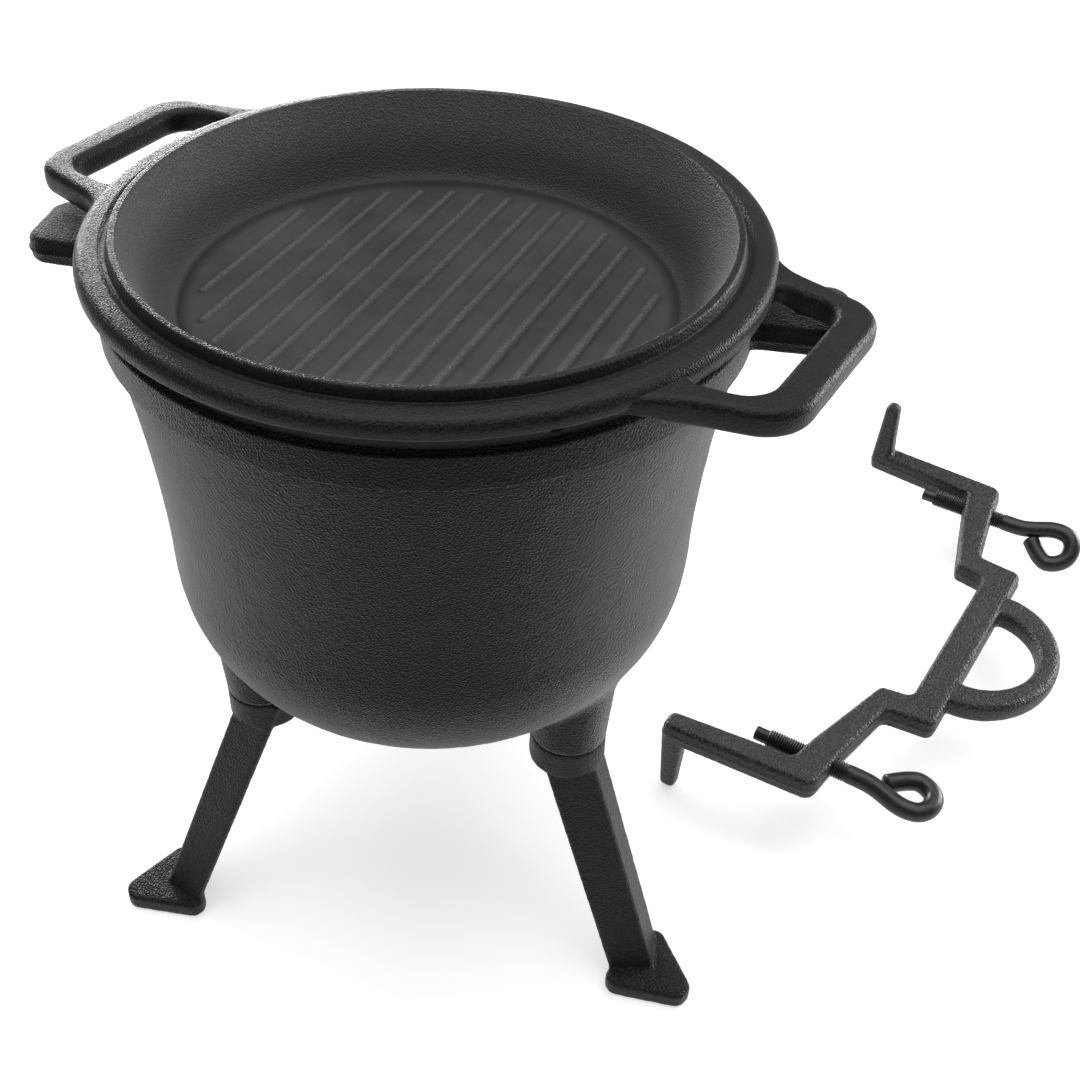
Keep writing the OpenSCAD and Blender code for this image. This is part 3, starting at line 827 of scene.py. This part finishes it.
def clamp():
    """The clamp's casting: stepped plate, hanging ring and two opposed hooks, bored for its screws."""
    shape = Shape()
    stepped_plate(shape)
    hanging_ring(shape)
    for side in (-1, 1):
        hook(shape, side)
    obj = shape.object("clamp_casting")
    fuse(obj, voxel=0.85, smooth=5)
    for side in (-1, 1):
        bore(obj, side)
    cast_skin(obj, depth=0.14, grain=2.4, seed=5.9)
    finish_piece(obj, "clamp", "cast_clamp", "clamp_bracket")


# ---- eye screws ------------------------------------------------------------

def thread(shape):
    """Right-hand thread with its crests and roots, and a blunt face at its inner end."""
    sides = 40
    xs = np.arange(POINT_X + POINT_LEN, THREAD_END + 0.01, 0.15)
    a = np.arange(sides) * 2 * np.pi / sides
    phase = (xs[:, None] / PITCH - a[None, :] / (2 * np.pi)) % 1.0
    tooth = np.clip(np.abs(phase - 0.5) * 2 * 1.35 - 0.12, 0, 1)
    ends = np.clip(np.minimum(xs - xs[0], (xs[-1] - xs) * 0.7) / 1.4, 0, 1)[:, None]
    r = THREAD_R - 0.03 - THREAD_DEPTH * (1 - tooth) - 0.55 * (1 - ends) * tooth
    p = np.stack([np.repeat(xs[:, None], sides, 1), r * np.cos(a)[None, :], r * np.sin(a)[None, :]], -1)
    shape.grid(p, wrap_v=True)
    shape.grid(np.stack([p[0] * [1, k, k] for k in (1.0, 0.6, 0.02)]), wrap_v=True)


def eye_screw(side, word, tilt):
    """M12 screw: thread, plain rod, and a teardrop eye bent from the rod and tilted about it."""
    shape = Shape()
    thread(shape)
    line = smooth_line(np.array([(x, y, 0.0) for x, y in EYE_LINE]), 170)
    line = turned_about_x(line, tilt)
    radius = np.full(len(line), ROD_R)
    # The rod starts narrow inside the thread and swells to its own size.
    radius[:4] = (4.6, 5.1, 5.4, 5.52)
    tube(shape, line, radius, 32)
    shape.co = [co + CLAMP_AT + [0, side * SCREW_Y, 0] for co in shape.co]
    obj = shape.object(f"eye_screw_{word}_bar", merge=0.002)
    finish_piece(obj, f"{word}_screw", "black_steel", f"eye_screw_{word}")


# ---- scene -----------------------------------------------------------------

def keep_cad(node, bevel):
    """A CAD node that stays: softened edges and the steel material."""
    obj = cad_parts[node]
    for s in obj.material_slots:
        s.material = MATS["black_steel"]
    if not obj.material_slots:
        obj.data.materials.append(MATS["black_steel"])
    mod = obj.modifiers.new("edge", "BEVEL")
    mod.width, mod.segments, mod.limit_method, mod.angle_limit = bevel * MM, 3, "ANGLE", math.radians(35)


def floor():
    """A wide pale floor just under the feet."""
    shape = Shape()
    line = np.linspace(-3500, 3500, 15)
    gx, gy = np.meshgrid(line, line, indexing="ij")
    shape.grid(np.stack([gx, gy, np.full_like(gx, -0.3)], -1))
    obj = shape.object("floor")
    g = Graph("pale_floor")
    clouds = g.nodes.new("ShaderNodeTexNoise")
    g.put_all(clouds, Scale=3)
    pale = g.ramp(clouds.outputs["Fac"], (0, (0.86, 0.86, 0.86)), (1, (0.9, 0.9, 0.9)))
    g.put_all(g.shader, Base_Color=pale, Roughness=0.85, Specular_IOR_Level=0.15,
              Emission_Color=(1, 1, 1), Emission_Strength=0.58)
    obj.data.materials.append(g.material)


def area_light(name, place, target, size, power):
    """A rectangular light of a size in metres, aimed at a target."""
    data = bpy.data.lights.new(name, "AREA")
    data.shape, data.size, data.size_y, data.energy = "RECTANGLE", size[0], size[1], power
    obj = bpy.data.objects.new(name, data)
    way = Vector(target) - Vector(place)
    obj.matrix_world = Matrix.Translation(place) @ way.to_track_quat("-Z", "Y").to_matrix().to_4x4()
    bpy.context.scene.collection.objects.link(obj)
    return obj


def lights():
    """Soft studio light: a broad top light from behind, and two side panels that graze the pot's sides."""
    world = bpy.data.worlds.new("studio")
    world.use_nodes = True
    back = world.node_tree.nodes["Background"]
    back.inputs["Color"].default_value = (1.0, 1.0, 1.0, 1.0)
    # The backdrop looks pale to the camera, but lights the iron only softly.
    path = world.node_tree.nodes.new("ShaderNodeLightPath")
    level = world.node_tree.nodes.new("ShaderNodeMapRange")
    level.inputs["To Min"].default_value, level.inputs["To Max"].default_value = 0.20, 0.95
    world.node_tree.links.new(path.outputs["Is Camera Ray"], level.inputs["Value"])
    world.node_tree.links.new(level.outputs["Result"], back.inputs["Strength"])
    bpy.context.scene.world = world
    bpy.context.scene.view_settings.view_transform = "Standard"
    area_light("top", (-0.1, 0.3, 2.2), (0.0, 0.1, 0.0), (2.6, 2.6), 56)
    panels = [area_light("left_side", (-1.9, 1.4, 0.5), (0.0, 0.0, 0.2), (1.2, 1.0), 60),
              area_light("right_side", (1.3, 2.0, 0.6), (0.0, 0.1, 0.2), (1.2, 1.2), 55)]
    # The panels light the object only, so the floor in front of the pot isn't a second light.
    apart = bpy.data.collections.new("not_lit_by_panels")
    apart.objects.link(bpy.data.objects["floor"])
    apart.collection_objects[0].light_linking.link_state = "EXCLUDE"
    for panel in panels:
        panel.light_linking.receiver_collection = apart


add_camera()
pot()
lid()
for leg_name in LEG_TURNS:
    leg(leg_name)
    keep_cad(leg_name.replace("leg_", "leg_bolt_"), 0.5)
    keep_cad(leg_name.replace("leg_", "leg_washer_"), 0.25)
clamp()
eye_screw(-1, "near", 0)
eye_screw(1, "far", 225)
for word in ("near", "far"):
    keep_cad(f"screw_point_{word}", 0.9)
floor()
lights()
